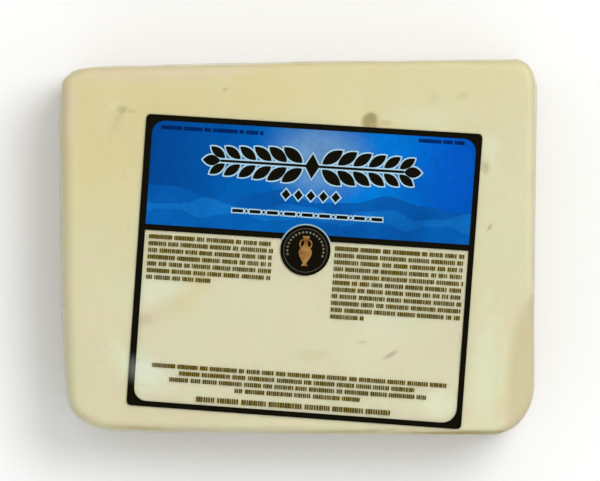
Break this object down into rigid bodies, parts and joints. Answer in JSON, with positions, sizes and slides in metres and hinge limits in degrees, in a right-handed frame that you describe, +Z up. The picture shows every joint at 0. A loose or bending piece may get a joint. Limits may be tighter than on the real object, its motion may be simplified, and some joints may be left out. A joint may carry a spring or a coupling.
{
  "type": "feta block",
  "caption": "Rectangular block of feta cheese with rounded, worn edges, shrunk tight in clear film, with a clear printed label on its broad face.",
  "frame": {"origin": "middle of the block's flat underside", "axes": "+X along the block's length, +Y along its width, towards the printed label's upper edge, +Z up out of the labelled broad face"},
  "size_m": [0.1269, 0.1005, 0.0356],
  "materials": {
    "feta": "moist pale cream cheese, mottled, with small brine pockets, cracks and tan smears",
    "film": "clear glossy shrink film, tight on the block, with fine creases at the corners",
    "label_sheet": "clear glossy sticker sheet",
    "print_black": "black printing ink",
    "print_blue": "blue printing ink, graded from deep blue to a pale blue glow",
    "print_pale": "pale printing ink of the outlines and the rings",
    "print_tan": "tan printing ink of the small jar"
  },
  "bodies": {
    "root": {"wrapped_block": "feta", "label": "label_sheet"}
  },
  "joints": []
}
